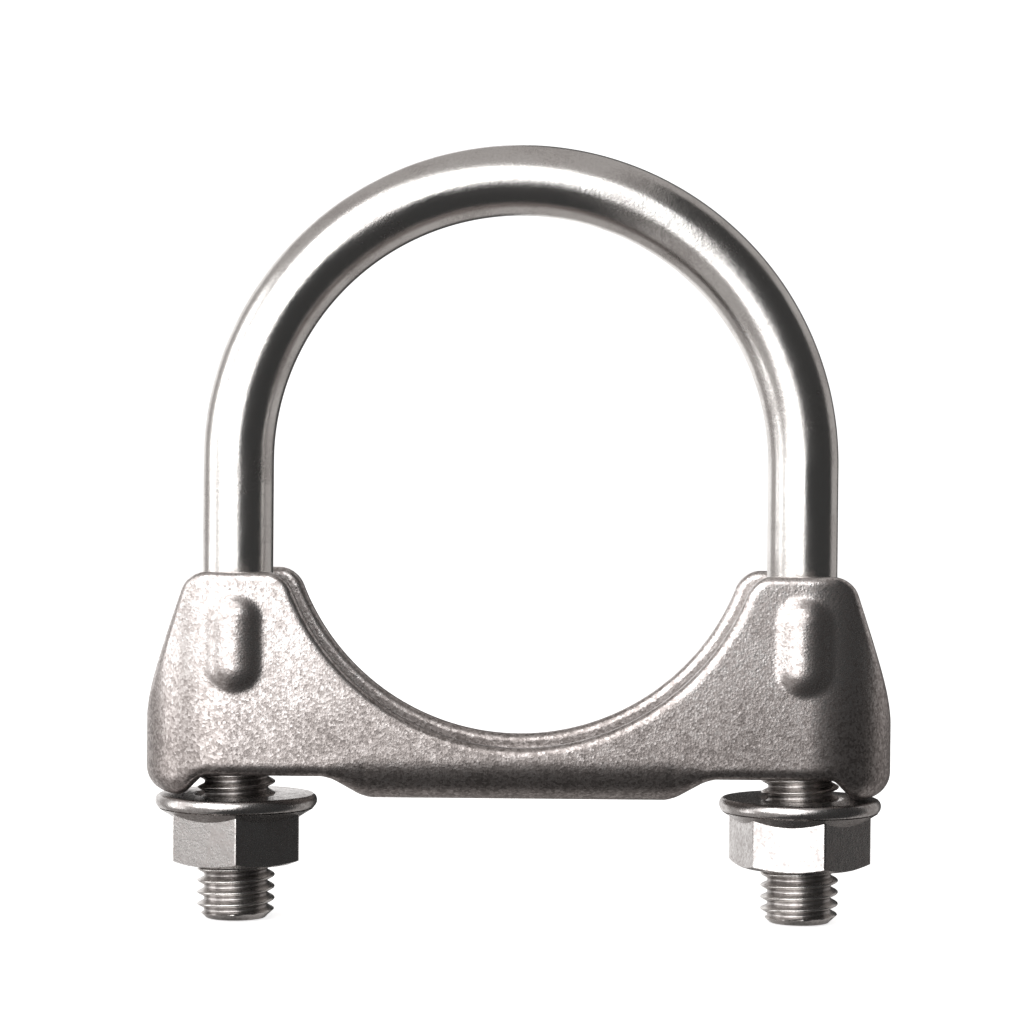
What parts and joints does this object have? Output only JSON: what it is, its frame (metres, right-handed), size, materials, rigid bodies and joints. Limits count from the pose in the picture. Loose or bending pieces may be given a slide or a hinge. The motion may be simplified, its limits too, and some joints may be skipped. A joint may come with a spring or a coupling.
{
  "type": "u-bolt exhaust clamp",
  "caption": "Round rod bent into a U with threaded legs, a pressed channel saddle that slides on the legs, and flanged hexagon nuts that draw it up against a pipe.",
  "frame": {"origin": "centre of the U bend, on the axis of the clamped pipe, midway between the legs", "axes": "+Z from the leg tips to the crown of the U, +X from the left leg to the right leg seen from the front, +Y along the pipe, away from the front"},
  "size_m": [0.0956, 0.0254, 0.0995],
  "materials": {
    "rod": "bright zinc plate",
    "pressing": "grainy zinc-plated sheet",
    "nut": "bright zinc plate"
  },
  "bodies": {
    "u_bolt": {"u_bolt": "rod"},
    "saddle": {"saddle": "pressing"},
    "nut_left": {"nut_left": "nut"},
    "nut_right": {"nut_right": "nut"}
  },
  "joints": [
    {"name": "nut_left_spin", "type": "hinge", "parent": "saddle", "child": "nut_left", "pos_m": [-0.03626, 0, -0.0428], "axis": [0, 0, 1], "range_deg": [-1657, 457]},
    {"name": "nut_right_spin", "type": "hinge", "parent": "saddle", "child": "nut_right", "pos_m": [0.03626, 0, -0.0428], "axis": [0, 0, 1], "range_deg": [-1657, 457]},
    {"name": "saddle_slide", "type": "slide", "parent": "u_bolt", "child": "saddle", "axis": [0, 0, 1], "range_m": [-0.0069, 0.0019]}
  ],
  "couplings": [
    {"joint": "nut_left_spin", "follows": "saddle_slide", "rad_per_m": 4188.8},
    {"joint": "nut_right_spin", "follows": "saddle_slide", "rad_per_m": 4188.8}
  ]
}
